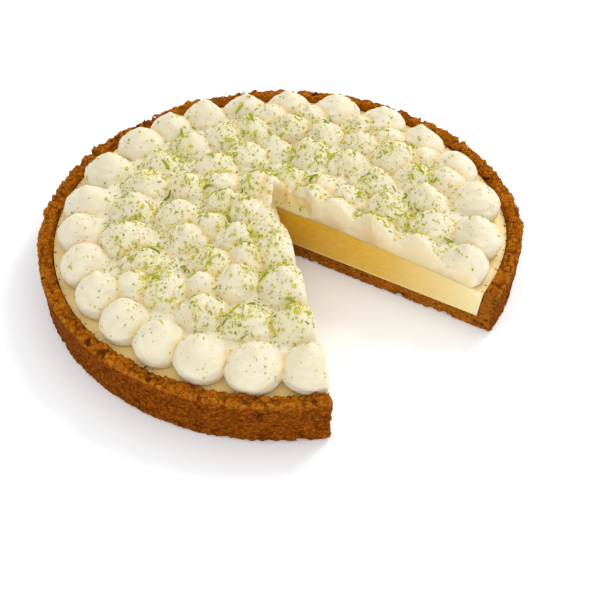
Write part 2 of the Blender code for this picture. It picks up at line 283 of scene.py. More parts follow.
def into_notch(x, y):
    """Distance into the missing slice, less than nothing on the tart."""
    return np.minimum(past_cut(x, y, LEFT_CUT_DEG), -past_cut(x, y, RIGHT_CUT_DEG))


def softest(first, second, blend):
    """The smaller of two distances, with the crease between them filled over a width."""
    near = np.maximum(blend - np.abs(first - second), 0.0) / blend
    return np.minimum(first, second) - near * near * blend / 4


def largest(first, second, blend):
    """The larger of two distances, with the edge between them rounded over a width."""
    return -softest(-first, -second, blend)


def three_sizes(size):
    return size if isinstance(size, tuple) else (size, size, size)


def soft_noise(x, y, z, size, seed):
    """Smooth random relief from -1 to 1, which changes over a size given for x, y and z."""
    draw = np.random.RandomState(seed)
    table = draw.uniform(-1, 1, (LATTICE, LATTICE, LATTICE)).astype(np.float32)
    cells = []
    shares = []
    for values, one_size in zip((x, y, z), three_sizes(size)):
        scaled = values / one_size + 0.37 * seed
        cell = np.floor(scaled).astype(np.int32)
        cells.append(cell)
        shares.append(smooth_step(scaled - cell))
    total = 0.0
    for corner in range(8):
        steps = (corner & 1, corner >> 1 & 1, corner >> 2)
        weight = 1.0
        index = []
        for cell, share, step in zip(cells, shares, steps):
            weight = weight * (share if step else 1 - share)
            index.append((cell + step) % LATTICE)
        total = total + weight * table[tuple(index)]
    return total


def crumb_cells(x, y, z, size, seed):
    """Distances to the nearest and second nearest of scattered crumb centres, in crumb sizes."""
    draw = np.random.RandomState(seed)
    table = draw.uniform(0.1, 0.9, (LATTICE, LATTICE, LATTICE, 3)).astype(np.float32)
    sizes = three_sizes(size)
    scaled = [values / one_size + 0.53 * seed for values, one_size in zip((x, y, z), sizes)]
    cells = [np.floor(values).astype(np.int32) for values in scaled]
    nearest = np.full(np.shape(scaled[0]), 9.0, np.float32)
    second = nearest.copy()
    for step in np.ndindex(3, 3, 3):
        there = [cell + part - 1 for cell, part in zip(cells, step)]
        centre = table[tuple(part % LATTICE for part in there)]
        squared = sum((there[axis] + centre[..., axis] - scaled[axis]) ** 2 for axis in range(3))
        second = np.minimum(second, np.maximum(nearest, squared))
        nearest = np.minimum(nearest, squared)
    return np.sqrt(nearest), np.sqrt(second)


def form_grid(low, high, step):
    """The coordinates of a box of evenly spaced points, as three arrays that broadcast together."""
    axes = [np.arange(a, b + step, step, dtype=np.float32) for a, b in zip(low, high)]
    return np.meshgrid(*axes, indexing="ij", sparse=True)


def skin_points(form):
    """Where a form's skin passes through the cells of its grid, and each cell's number."""
    shape = tuple(count - 1 for count in form.shape)
    corners = list(np.ndindex(2, 2, 2))

    def corner_values(corner):
        return form[tuple(slice(step, step + count) for step, count in zip(corner, shape))]

    filled = sum((corner_values(corner) < 0).astype(np.int8) for corner in corners)
    cells = np.argwhere((filled > 0) & (filled < 8))
    values = {corner: corner_values(corner)[tuple(cells.T)] for corner in corners}
    total = np.zeros((len(cells), 3))
    crossings = np.zeros(len(cells))
    for corner in corners:
        for axis in range(3):
            if corner[axis]:
                continue
            other = tuple(1 if index == axis else step for index, step in enumerate(corner))
            here = values[corner]
            there = values[other]
            crossed = (here < 0) != (there < 0)
            share = here[crossed] / (here[crossed] - there[crossed])
            point = np.tile(np.array(corner, float), (crossed.sum(), 1))
            point[:, axis] = share
            total[crossed] += point
            crossings[crossed] += 1
    places = np.full(shape, -1, np.int64)
    places[tuple(cells.T)] = np.arange(len(cells))
    return cells + total / crossings[:, None], places


def skin_faces(form, places):
    """Four-sided faces, one for each step of the grid that the skin passes between."""
    faces = []
    for axis in range(3):
        across, up = [(1, 2), (2, 0), (0, 1)][axis]
        inner = [slice(1, -1)] * 3
        inner[axis] = slice(0, -1)
        ahead = [slice(1, -1)] * 3
        ahead[axis] = slice(1, None)
        here = form[tuple(inner)] < 0
        there = form[tuple(ahead)] < 0
        for leaving in (True, False):
            steps = np.argwhere((here & ~there) if leaving else (~here & there))
            steps[:, across] += 1
            steps[:, up] += 1
            ring = []
            for back_across, back_up in ((1, 1), (0, 1), (0, 0), (1, 0)):
                cell = steps.copy()
                cell[:, across] -= back_across
                cell[:, up] -= back_up
                ring.append(places[tuple(cell.T)])
            if not leaving:
                ring.reverse()
            faces.append(np.stack(ring, axis=1))
    return np.concatenate(faces)


def mesh_object(name, points, faces):
    mesh = bpy.data.meshes.new(name)
    mesh.from_pydata(points, [], faces)
    mesh.update()
    obj = bpy.data.objects.new(name, mesh)
    bpy.context.scene.collection.objects.link(obj)
    return obj


def point_array(obj, what="co"):
    """A row of three numbers for each point of a mesh: its place, or its normal."""
    flat = np.empty(len(obj.data.vertices) * 3, np.float32)
    obj.data.vertices.foreach_get(what, flat)
    return flat.reshape(-1, 3).astype(float)


def move_points(obj, points):
    obj.data.vertices.foreach_set("co", points.astype(np.float32).ravel())
    obj.data.update()


def bake_modifiers(obj):
    graph = bpy.context.evaluated_depsgraph_get()
    mesh = bpy.data.meshes.new_from_object(obj.evaluated_get(graph))
    obj.modifiers.clear()
    obj.data = mesh


def thin_out(obj, triangles):
    """Leaves about so many triangles, most of them where the surface bends."""
    now = sum(len(face.vertices) - 2 for face in obj.data.polygons)
    if now > triangles:
        fewer = obj.modifiers.new("fewer", "DECIMATE")
        fewer.ratio = triangles / now
        bpy.context.view_layer.update()
        bake_modifiers(obj)


def skin_form(name, form, low, step):
    points, places = skin_points(form)
    points = points * step + np.array(low)
    return mesh_object(name, points.tolist(), skin_faces(form, places).tolist())


def store(obj, name, values):
    """Keeps a value from 0 to 1 at each point of a mesh, for its material."""
    layer = obj.data.attributes.new(name, "FLOAT", "POINT")
    layer.data.foreach_set("value", np.clip(values, 0, 1).astype(np.float32))


def dress(obj, material, node):
    obj.data.materials.clear()
    obj.data.materials.append(material)
    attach(obj, "root")
    if node:
        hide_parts(node)


def crack_depths():
    """The depth of the crack, if any, at each step round the rim."""
    draw = random.Random(CRACK_SEED)
    return [
        CRACK_DEPTH * draw.uniform(0.5, 1) if draw.random() < CRACK_SHARE else 0.0
        for _ in range(RIM_STEPS)
    ]


def rim_waves():
    """How far the rim's top rises and falls at each step round it."""
    waves = []
    for step in range(RIM_STEPS + 1):
        angle = math.tau * step / RIM_STEPS
        arc = RIM_RADIUS / RIM_CRUMB
        point = Vector((arc * math.cos(angle), arc * math.sin(angle), RIM_HEIGHT / RIM_CRUMB))
        waves.append(CRUMB_DEPTH * noise.noise(point))
    return waves


def crust_body(x, y, z, angle, radius):
    """The smooth shell with its cracked rim, before its crumb."""
    turn = angle % math.tau
    wave = np.interp(turn, np.linspace(0, math.tau, RIM_STEPS + 1), rim_waves())
    crack = np.zeros_like(angle)
    wobble = CRACK_WOBBLE * soft_noise(x, y, 0 * x, CRACK_WOBBLE_SIZE, 21)
    for step, depth in enumerate(crack_depths()):
        if depth:
            middle = math.tau * step / RIM_STEPS
            off = (turn - middle + math.pi) % math.tau - math.pi
            across = (off * RIM_RADIUS + wobble) / CRACK_HALF_WIDTH
            crack = np.maximum(crack, depth * np.exp(-across ** 2))
    pull = edge_pull(angle)
    outer = FOOT_RADIUS + (RIM_RADIUS - FOOT_RADIUS) * z / RIM_HEIGHT - pull
    near_rim = rising(z, CRACK_BOTTOM, 5 * MM)
    side = radius - outer + 0.5 * crack * near_rim
    top = z - (RIM_HEIGHT + wave - 1.15 * crack)
    solid = largest(largest(side, top, RIM_ROUND), -z, RIM_ROUND)
    room = np.maximum(radius - inner_wall(angle, z), BASE_THICKNESS - z)
    return largest(solid, -room, INNER_ROUND)


def crust_relief(x, y, z):
    """Crumb on the shell: how far it stands out, at each of a list of points."""
    lumps, lump_edge = crumb_cells(x, y, z, LUMP_SIZE, 4)
    grains, _ = crumb_cells(x, y, z, GRAIN_SIZE, 9)
    pits = soft_noise(x, y, z, PIT_SIZE, 15) + 0.45 * soft_noise(x, y, z, FINE_PIT_SIZE, 16)
    on_top = rising(z - RIM_HEIGHT, -3 * MM, 2 * MM)
    relief = (0.45 + 0.6 * on_top) * MM * (0.55 - lumps) + 0.6 * MM * (0.4 - grains)
    relief += 0.3 * MM * soft_noise(x, y, z, BROAD_SIZE, 17)
    relief -= PIT_DEPTH * smooth_step((pits - 0.54 + 0.06 * on_top) / 0.3)
    relief -= (0.35 + 0.4 * on_top) * MM * smooth_step((0.16 - (lump_edge - lumps)) / 0.16)
    relief += 0.9 * MM * on_top * (soft_noise(x, y, z, TOP_WAVE_SIZE, 18) - 0.25)
    return relief - 0.1 * MM


def make_crust():
    low, high = CRUST_GRID
    x, y, z = form_grid(low, high, CRUST_STEP)
    radius = np.hypot(x, y)
    angle = np.arctan2(y, x)
    notch = into_notch(x, y)
    form = np.maximum(crust_body(x, y, z, angle, radius), notch)
    hidden = rising(inner_wall(angle, z) - radius, -0.2 * MM, 1 * MM)
    hidden = hidden * smooth_step((curd_top(radius) - 0.4 * MM - z) / (0.6 * MM))
    hidden = np.maximum(hidden, smooth_step((112 * MM - radius) / (3 * MM)))
    shown = np.maximum(1 - hidden, rising(notch, -2.5 * MM, 1.2 * MM))
    shown = np.broadcast_to(shown, form.shape)
    near = (np.abs(form) < DEEPEST_CRUMB) & (shown > 0.01)
    spots = np.argwhere(near).T
    places = [values.ravel()[spot] for values, spot in zip((x, y, z), spots)]
    form[near] -= (crust_relief(*places) * shown[near]).astype(np.float32)
    form = np.maximum(form, -z)
    crust = skin_form("crust_shell", form, low, CRUST_STEP)
    points = point_array(crust)
    points[:, 2] = np.maximum(points[:, 2], 0.0)
    reach = np.hypot(points[:, 0], points[:, 1])
    points[:, :2] *= np.minimum(1, (RIM_RADIUS + 0.05 * MM) / np.maximum(reach, MM))[:, None]
    move_points(crust, points)
    thin_out(crust, CRUST_TRIANGLES)
    points = point_array(crust)
    move_points(crust, np.clip(points, cad_box[0], cad_box[1]))
    crust.data.shade_smooth()
    return crust


def mark_crust(crust):
    """Where the crust has pits and its outer top edge, for painted shade and a painted highlight,
    and where it has a cut face, for its colour.
    """
    x, y, z = point_array(crust).T
    past_edge = np.hypot(x, y) - (RIM_RADIUS - edge_pull(np.arctan2(y, x)))
    # Painted highlight along the outer top edge of the rim.
    rim_highlight_and_crumb_tone = rising(z - RIM_HEIGHT, -3.2 * MM, 1.6 * MM) * rising(past_edge, -2.6 * MM, 1.4 * MM)
    wall = rising(past_edge, -4 * MM, 2 * MM) * smooth_step((RIM_HEIGHT - z) / (4 * MM))
    # Painted shade in the pits, by how deep the crumb's relief sinks.
    store(crust, "pit_shade", rising(-crust_relief(x, y, z), 0.5 * MM, 1.0 * MM))
    store(crust, "rim_highlight_and_crumb_tone", rim_highlight_and_crumb_tone)
    store(crust, "inside", rising(into_notch(x, y), -1.5 * MM, 0.8 * MM))
    store(crust, "wall", wall)


def mark_curd(curd):
    """How far out the curd is, for painted shade towards the middle, where its skin lies bare by the
    rim, and its seam with the base.
    """
    x, y, z = point_array(curd).T
    radius = np.hypot(x, y)
    bare = rising(radius + RING_SHIFT * y / np.maximum(radius, MM), 98 * MM, 6 * MM)
    on_top = rising(z - curd_top(radius), -0.7 * MM, 0.5 * MM)
    cut = rising(into_notch(x, y), -0.6 * MM, 0.4 * MM)
    # Painted shade: 0 towards the middle, drawn deep gold, and 1 outwards, drawn pale.
    store(curd, "shade_to_light_outward", rising(radius, 42 * MM, 76 * MM))
    store(curd, "baked", 0.8 * bare * on_top)
    store(curd, "seam", cut * smooth_step(1 - (z - BASE_THICKNESS) / (1.6 * MM)))


def edge_reach(angle, height, inset):
    """Distance from the notch's tip to the curd's edge, in a direction seen from that tip."""
    direction = unit(angle)
    reach = RIM_RADIUS
    for _ in range(8):
        place = NOTCH_TIP + direction * reach
        wanted = float(inner_wall(math.atan2(place.y, place.x), height)) - inset
        along = NOTCH_TIP.dot(direction)
        reach = -along + math.sqrt(along ** 2 - NOTCH_TIP.length_squared + wanted ** 2)
    return reach


def curd_point(share, turn, rise):
    """A point of the curd: share runs out from the tip, turn from cut to cut, rise upwards."""
    angle = math.radians(RIGHT_CUT_DEG + turn * (360 + LEFT_CUT_DEG - RIGHT_CUT_DEG))
    height = BASE_THICKNESS + rise * (curd_top(FOOT_RADIUS) - BASE_THICKNESS)
    place = NOTCH_TIP + unit(angle) * edge_reach(angle, height, 0.15 * MM) * share
    radius = place.length
    base = BASE_THICKNESS + 0.05 * MM
    edge = 1 - (inner_wall(math.atan2(place.y, place.x), RIM_HEIGHT) - radius) / (2 * MM)
    meniscus = 0.5 * MM * float(smooth_step(edge)) ** 2
    waves = noise.noise(Vector((place.x, place.y, 0)) / (11 * MM))
    top = curd_top(radius) + meniscus + 0.25 * MM * waves
    return (place.x, place.y, base + rise * (top - base))


def make_curd():
    """A curved block whose skin is five sheets: base, top, edge and the two cut faces."""
    shares = CURD_SHARES
    turns = [step / CURD_TURNS for step in range(CURD_TURNS + 1)]
    rises = [step / CURD_RISES for step in range(CURD_RISES + 1)]
    sheets = [
        [[(share, turn, 1) for turn in turns] for share in shares],
        [[(share, turn, 0) for turn in reversed(turns)] for share in shares],
        [[(1, turn, rise) for turn in reversed(turns)] for rise in rises],
        [[(share, 0, rise) for share in reversed(shares)] for rise in rises],
        [[(share, 1, rise) for share in shares] for rise in rises],
    ]
    numbers = {}
    points = []
    faces = []

    def number(key):
        key = (0, 0, key[2]) if key[0] == 0 else key
        if key not in numbers:
            numbers[key] = len(points)
            points.append(curd_point(*key))
        return numbers[key]

    for sheet in sheets:
        for row, after in zip(sheet, sheet[1:]):
            for index in range(len(row) - 1):
                corners = [number(row[index]), number(row[index + 1])]
                corners += [number(after[index + 1]), number(after[index])]
                ring = list(dict.fromkeys(corners))
                if len(ring) > 2:
                    faces.append(ring)
    curd = mesh_object("lemon_filling", points, faces)
    curd.data.shade_smooth()
    curd.data.set_sharp_from_angle(angle=math.radians(40))
    return curd


def ring_place(ring_radius, angle):
    return unit(angle) * (ring_radius - RING_SHIFT * math.sin(angle) - float(edge_pull(angle)))


def ring_end(ring_radius, cut_degrees, inside, turn):
    """The angle at which a ring, going away from a cut, first lies so far inside the tart."""
    angle = math.radians(cut_degrees)
    while turn * past_cut(*ring_place(ring_radius, angle), cut_degrees) < inside:
        angle += turn * math.radians(0.25)
    return angle


def outer_places():
    angle = OUTER_START_DEG
    places = [ring_place(OUTER_RING, math.radians(angle))]
    for count, gap in OUTER_RUNS:
        for _ in range(count):
            angle -= gap
            places.append(ring_place(OUTER_RING, math.radians(angle)))
    return places


def random_lean(draw, most):
    return Vector((draw.uniform(-1, 1), draw.uniform(-1, 1))) * most


def outer_dollops():
    """(centre, radius, height, lean) of each dome of the outer ring, as wide as its gaps."""
    draw = random.Random(CREAM_SEED)
    places = outer_places()
    made = []
    for index, place in enumerate(places):
        near = [places[i] for i in (index - 1, index + 1) if 0 <= i < len(places)]
        spacing = sum((place - other).length for other in near) / len(near)
        radius = min(max(OUTER_OVERLAP * spacing, NARROWEST_DOLLOP), WIDEST_DOLLOP)
        lean = random_lean(draw, OUTER_LEAN)
        made.append((place, radius, DOLLOP_HEIGHT * draw.uniform(*OUTER_HEIGHTS), lean))
    return made


def inner_dollop(draw, place, size, radii, heights):
    lean = random_lean(draw, INNER_LEAN)
    radius = size * draw.uniform(*radii)
    return (place, radius, DOLLOP_HEIGHT * draw.uniform(*heights), lean)


def inner_dollops():
    """(centre, radius, height, lean) of each dome inside the outer ring, from cut to cut."""
    draw = random.Random(CREAM_SEED + 1)
    made = []
    for ring_radius, gaps, inside in INNER_RINGS:
        start = ring_end(ring_radius, RIGHT_CUT_DEG, inside, 1)
        end = ring_end(ring_radius, LEFT_CUT_DEG, INSIDE_LEFT_CUT, -1) + math.tau
        step = (end - start) / gaps
        for index in range(gaps + 1):
            slack = WANDER_AT_CUT if index in (0, gaps) else 1.0
            angle = start + step * (index + slack * STEP_WANDER * draw.uniform(-1, 1))
            place = ring_place(ring_radius + slack * RING_WANDER * draw.uniform(-1, 1), angle)
            made.append(inner_dollop(draw, place, DOLLOP_RADIUS, INNER_RADII, INNER_HEIGHTS))
    return made


def small_dollops(dollops):
    """Smaller domes in the widest gaps between the others."""
    draw = random.Random(CREAM_SEED + 4)
    spots = []
    for _ in range(SMALL_TRIES):
        spot = SMALL_REACH * math.sqrt(draw.random()) * unit(draw.uniform(0, math.tau))
        if into_notch(*spot) < -INSIDE_LEFT_CUT:
            spots.append(spot)
    centres = [dollop[0] for dollop in dollops]
    made = []
    for _ in range(SMALL_COUNT):
        gaps = [min((spot - centre).length for centre in centres) for spot in spots]
        gap = max(gaps)
        place = spots[gaps.index(gap)]
        centres.append(place)
        made.append(inner_dollop(draw, place, gap, SMALL_RADII, SMALL_HEIGHTS))
    return made


def dollop_widths(peak):
    """Share of the radius at each height share: a bulb whose shoulders draw in to a soft peak."""
    off = PROFILE_SHARES - WIDEST_AT
    closing = np.where(off < 0, BULB_BELOW, BULB_ABOVE)
    bulb = np.sqrt(np.clip(1 - (off / closing) ** 2, 0, 1))
    widths = softest(bulb, np.minimum(peak * (1 - PROFILE_SHARES), 2.0), PEAK_BLEND)
    beyond = PROFILE_SHARES > 1
    widths[beyond] = -3 * (PROFILE_SHARES[beyond] - 1)
    return widths


def dollop_form(x, y, z, dollop, shape):
    """Distance from one dome. shape gives its peak, how oval it is and in which direction."""
    place, radius, height, lean = dollop
    peak, oval, heading = shape
    share = (z - float(curd_top(place.length))) / height
    lifted = np.clip(share, 0, 1) ** 2
    off_x = x - place.x - lean.x * lifted
    off_y = y - place.y - lean.y * lifted
    along = off_x * math.cos(heading) + off_y * math.sin(heading)
    across = off_y * math.cos(heading) - off_x * math.sin(heading)
    out = np.sqrt((along * oval) ** 2 + (across / oval) ** 2 + TIP_ROUND ** 2) - TIP_ROUND
    widths = dollop_widths(peak)
    slopes = np.gradient(widths, PROFILE_SHARES)
    width = np.interp(share, PROFILE_SHARES, widths) * radius
    slope = np.interp(share, PROFILE_SHARES, slopes) * radius / height
    return (out - width) / np.sqrt(1 + np.minimum(slope ** 2, 9))


def dollop_shapes(dollops):
    draw = random.Random(CREAM_SEED + 3)
    return [[draw.uniform(*most) for most in (PEAKS, OVALS, (0, math.pi))] for _ in dollops]


def cream_bottom(radius):
    return curd_top(radius) + 0.05 * MM


def torn_away(x, y, z):
    """How far the cream near the tip stays back from the cut, where it tore."""
    along = along_cut(x, y, RIGHT_CUT_DEG)
    share = smooth_step(1.5 - np.abs(along - TEAR_MIDDLE) / TEAR_REACH)
    rough = 1 + 0.5 * soft_noise(x, y, z, TEAR_SIZE, 41)
    return TEAR_DEPTH * share * rough * rising(z, TEAR_BOTTOM, 5 * MM)


def air_holes():
    """(middle, size) of the small holes that the knife opened in the right-hand cut face."""
    draw = random.Random(CREAM_SEED + 5)
    direction = unit(math.radians(RIGHT_CUT_DEG))
    holes = []
    for along, height, count in HOLE_CLUSTERS:
        for _ in range(count):
            place = NOTCH_TIP + direction * (along + draw.gauss(0, 2.2) * MM)
            middle = Vector((place.x, place.y, height + draw.gauss(0, 0.9) * MM))
            holes.append((middle, draw.uniform(0.45, 0.95) * MM))
    return holes


def lines_near(values, middle, reach):
    """The run of a grid's lines that pass within reach of a place."""
    close = np.flatnonzero(np.abs(values.ravel() - middle) < reach)
    return slice(close[0], close[-1] + 1)


def make_cream(dollops, outer_count):
    low, high = CREAM_GRID
    x, y, z = form_grid(low, high, CREAM_STEP)
    radius = np.hypot(x, y)
    angle = np.arctan2(y, x)
    ring = OUTER_RING - RING_SHIFT * np.sin(angle) - edge_pull(angle) - LAYER_INSET
    layer_top = curd_top(radius) + LAYER_THICKNESS - 2 * MM
    form = largest(z - layer_top, radius - ring, 3 * MM)
    for number, (dollop, shape) in enumerate(zip(dollops, dollop_shapes(dollops))):
        place = dollop[0]
        reach = dollop[1] * 1.3 + 3 * MM
        part = (lines_near(x, place.x, reach), lines_near(y, place.y, reach))
        own = dollop_form(x[part[0]], y[:, part[1]], z, dollop, shape)
        blend = OUTER_BLEND if number < outer_count else INNER_BLEND
        form[part] = softest(form[part], own, blend)
    form = np.maximum(form, cream_bottom(radius) - z)
    wall = inner_wall(angle, RIM_HEIGHT) - RIM_CLEARANCE
    by_rim = -np.maximum(wall - radius, z - (RIM_HEIGHT + CRUMB_DEPTH))
    form = np.maximum(form, by_rim)
    form = np.maximum(form, into_notch(x, y) + torn_away(x, y, z))
    for hole, size in air_holes():
        part = tuple(lines_near(*line, HOLE_REACH) for line in zip((x, y, z), hole))
        flat = (x[part[0]] - hole.x) ** 2 + (y[:, part[1]] - hole.y) ** 2
        inside = np.sqrt(flat + (z[:, :, part[2]] - hole.z) ** 2)
        form[part] = largest(form[part], size - inside, 0.3 * MM)
    cream = skin_form("piped_cream", form.astype(np.float32), low, CREAM_STEP)
    settle_cream(cream)
    thin_out(cream, CREAM_TRIANGLES)
    cream.data.shade_smooth()
    mark_cream(cream, dollops)
    return cream


def mark_cream(cream, dollops):
    """Where the domes meet and where they sit low on the curd, for painted shade, and where the
    knife went, for the cream's colour.
    """
    x, y, z = point_array(cream).T
    nearest = np.full(len(x), 9 * MM)
    second = nearest.copy()
    for dollop, shape in zip(dollops, dollop_shapes(dollops)):
        place, radius = dollop[:2]
        close = np.hypot(x - place.x, y - place.y) < 1.3 * radius + 3 * MM
        own = dollop_form(x[close], y[close], z[close], dollop, shape)
        second[close] = np.minimum(second[close], np.maximum(nearest[close], own))
        nearest[close] = np.minimum(nearest[close], own)
    cut = rising(into_notch(x, y), -0.5 * MM, 0.4 * MM)
    above = z - curd_top(np.hypot(x, y))
    # Painted shade: the creases between the domes and their low parts near the curd, also at the
    # foot of the cut faces.
    low = 0.8 * smooth_step(1 - above / (5 * MM))
    cut_foot_shade = 0.8 * smooth_step(1 - above / (2.2 * MM))
    crease_shade = np.maximum(smooth_step(1 - second / (2.6 * MM)), low)
    store(cream, "crease_shade", crease_shade * (1 - cut) + cut_foot_shade * cut)
    store(cream, "cut_face", cut)


def keep_low(points):
    """Presses what stands too high softly under the top of the solid model."""
    start = cad_box[1][2] - TOP_MARGIN - TOP_ROOM
    over = np.maximum(points[:, 2] - start, 0)
    points[:, 2] = np.minimum(points[:, 2], start) + TOP_ROOM * np.tanh(over / TOP_ROOM)


def settle_cream(cream):
    """Soft unevenness on the piped surface, and true flat cuts and underside."""
    points = point_array(cream)
    normals = point_array(cream, "normal")
    x, y, z = points.T
    ring = np.hypot(x, y) + edge_pull(np.arctan2(y, x))
    wild = 1 - 0.6 * rising(ring, 80 * MM, 8 * MM)
    folds = smooth_step((soft_noise(x, y, z, FOLD_SIZE, 34) - 0.3) / 0.25)
    relief = SAG_DEPTH * wild * soft_noise(x, y, z, SAG_SIZE, 31)
    relief += WRINKLE_DEPTH * soft_noise(x, y, z, WRINKLE_SIZE, 32)
    relief -= FOLD_DEPTH * wild * folds
    relief += BEAD_DEPTH * soft_noise(x, y, z, BEAD_SIZE, 33)
    free = rising(-into_notch(x, y), 0.5 * MM, 2 * MM)
    free = free * rising(z - curd_top(np.hypot(x, y)), 0.6 * MM, 1.5 * MM)
    points += normals * (relief * free)[:, None]
    for degrees in (LEFT_CUT_DEG, RIGHT_CUT_DEG):
        direction = unit(math.radians(degrees))
        off = past_cut(points[:, 0], points[:, 1], degrees)
        along = along_cut(points[:, 0], points[:, 1], degrees)
        close = (np.abs(off) < 0.6 * CREAM_STEP) & (along > 0)
        points[close, 0] += direction.y * off[close]
        points[close, 1] -= direction.x * off[close]
    bottom = cream_bottom(np.hypot(points[:, 0], points[:, 1]))
    resting = np.abs(points[:, 2] - bottom) < 0.6 * CREAM_STEP
    points[resting, 2] = bottom[resting]
    keep_low(points)
    move_points(cream, points)


class Bench:
    """Adds nodes to one tree and joins them."""

    def __init__(self, tree):
        self.tree = tree

    def node(self, kind, inputs=(), **settings):
        made = self.tree.nodes.new(kind)
        for name, value in settings.items():
            setattr(made, name, value)
        for socket, value in dict(inputs).items():
            if isinstance(value, bpy.types.NodeSocket):
                self.tree.links.new(value, made.inputs[socket])
            else:
                made.inputs[socket].default_value = value
        return made

    def number(self, operation, first, second=0.0):
        return self.node("ShaderNodeMath", {0: first, 1: second}, operation=operation).outputs[0]

    def spread(self, value, low, high):
        """A value from low to high, stretched to run from 0 to 1."""
        inputs = {"Value": value, "From Min": low, "From Max": high}
        return self.node("ShaderNodeMapRange", inputs).outputs["Result"]

    def blend(self, share, first, second):
        """A mix of two colours, each a socket or three numbers."""
        first, second = (
            value if isinstance(value, bpy.types.NodeSocket) else (*value, 1)
            for value in (first, second)
        )
        inputs = {0: share, 6: first, 7: second}
        return self.node("ShaderNodeMix", inputs, data_type="RGBA").outputs[2]

    def tint(self, colour, mask, amount, towards):
        """A colour drawn towards another, by an amount where the mask is 1."""
        return self.blend(self.number("MULTIPLY", mask, amount), colour, towards)

    def mark(self, name):
        return self.node("ShaderNodeAttribute", attribute_name=name).outputs["Fac"]

    def placed(self, group, **values):
        made = self.node("ShaderNodeGroup", node_tree=group)
        for name, value in values.items():
            made.inputs[name].default_value = value
        return made.outputs


def new_group(name, inputs, outputs):
    group = bpy.data.node_groups.new(name, "ShaderNodeTree")
    for socket, value in inputs.items():
        made = group.interface.new_socket(socket, in_out="INPUT", socket_type="NodeSocketFloat")
        made.default_value = value
    for socket in outputs:
        group.interface.new_socket(socket, in_out="OUTPUT", socket_type="NodeSocketFloat")
    bench = Bench(group)
    return group, bench, bench.node("NodeGroupInput").outputs, bench.node("NodeGroupOutput").inputs


def uneven_tone_group():
    """Soft patches from 0 to 1, of a size and a flatness in metres and shares."""
    group, bench, given, result = new_group(
        "uneven_tone", {"Size": 0.004, "Flatness": 1.0, "Detail": 3.0}, ["Tone", "Height"]
    )
    place = bench.node("ShaderNodeTexCoord").outputs["Object"]
    inputs = {"X": 1.0, "Y": 1.0, "Z": given["Flatness"]}
    inputs = {0: place, 1: bench.node("ShaderNodeCombineXYZ", inputs).outputs[0]}
    flat = bench.node("ShaderNodeVectorMath", inputs, operation="MULTIPLY").outputs[0]
    scale = bench.number("DIVIDE", 1.0, given["Size"])
    inputs = {"Vector": flat, "Scale": scale, "Detail": given["Detail"], "Roughness": 0.6}
    patches = bench.node("ShaderNodeTexNoise", inputs).outputs[0]
    bench.tree.links.new(bench.spread(patches, 0.34, 0.66), result["Tone"])
    bench.tree.links.new(patches, result["Height"])
    return group


def crumb_group():
    """Fine crumb: grains with dark joints between them."""
    group, bench, given, result = new_group("fine_crumb", {"Size": 0.0012}, ["Grain", "Joint"])
    place = bench.node("ShaderNodeTexCoord").outputs["Object"]
    scale = bench.number("DIVIDE", 1.0, given["Size"])
    inputs = {"Vector": place, "Scale": scale, "Randomness": 1.0}
    cells = bench.node("ShaderNodeTexVoronoi", inputs)
    joints = bench.node("ShaderNodeTexVoronoi", inputs, feature="DISTANCE_TO_EDGE")
    bench.tree.links.new(bench.spread(cells.outputs["Distance"], 0.75, 0.1), result["Grain"])
    bench.tree.links.new(bench.spread(joints.outputs["Distance"], 0.12, 0.0), result["Joint"])
    return group


def new_material(name):
    made = bpy.data.materials.new(name)
    made.use_nodes = True
    made.node_tree.nodes.clear()
    bench = Bench(made.node_tree)
    shader = bench.node("ShaderNodeBsdfPrincipled")
    output = bench.node("ShaderNodeOutputMaterial")
    bench.tree.links.new(shader.outputs[0], output.inputs["Surface"])
    return made, bench, shader


def finish_with(bench, shader, colour, roughness, height, distance, strength):
    """Joins colour and surface height to the shader, and sets its roughness."""
    bench.tree.links.new(colour, shader.inputs["Base Color"])
    shader.inputs["Roughness"].default_value = roughness
    inputs = {"Height": height, "Distance": distance, "Strength": strength}
    bump = bench.node("ShaderNodeBump", inputs)
    bench.tree.links.new(bump.outputs[0], shader.inputs["Normal"])


def let_light_in(shader, weight, radius, scale):
    shader.inputs["Subsurface Weight"].default_value = weight
    shader.inputs["Subsurface Radius"].default_value = radius
    shader.inputs["Subsurface Scale"].default_value = scale


def crust_material(tone, crumb):
    """Shortcrust: brown grains, with painted shade in its pits and a painted highlight along the
    outer top edge.
    """
    made, bench, shader = new_material("baked_crust")
    broad = bench.placed(tone, Size=0.009, Flatness=1.6, Detail=3)
    fine = bench.placed(tone, Size=0.0018, Flatness=1.3, Detail=3)
    grains = bench.placed(crumb, Size=0.0011)
    colour = bench.blend(broad["Tone"], (0.5, 0.13, 0.004), (0.74, 0.23, 0.009))
    baked = bench.blend(broad["Tone"], (0.16, 0.029, 0.0006), (0.3, 0.062, 0.0018))
    colour = bench.blend(bench.mark("wall"), colour, baked)
    colour = bench.tint(colour, fine["Tone"], 0.42, (0.7, 0.215, 0.012))
    # Painted highlight along the rim's outer top edge; on the crumbs the same mark holds a random
    # lighter tone.
    colour = bench.tint(colour, bench.mark("rim_highlight_and_crumb_tone"), 0.5, (0.78, 0.27, 0.025))
    colour = bench.tint(colour, bench.mark("inside"), 0.35, (0.33, 0.14, 0.025))
    hollow = bench.number("SUBTRACT", 1.0, fine["Tone"])
    colour = bench.tint(colour, hollow, 0.58, (0.075, 0.014, 0.0007))
    colour = bench.tint(colour, grains["Joint"], 0.5, (0.07, 0.015, 0.002))
    # Painted shade: the pits and cracks of the crumb are drawn almost black.
    colour = bench.tint(colour, bench.mark("pit_shade"), 0.75, (0.06, 0.011, 0.0008))
    height = bench.number("ADD", bench.number("MULTIPLY", grains["Grain"], 0.6), fine["Height"])
    finish_with(bench, shader, colour, 0.82, height, 0.0012, 1.0)
    shader.inputs["Specular IOR Level"].default_value = 0.02
    return made


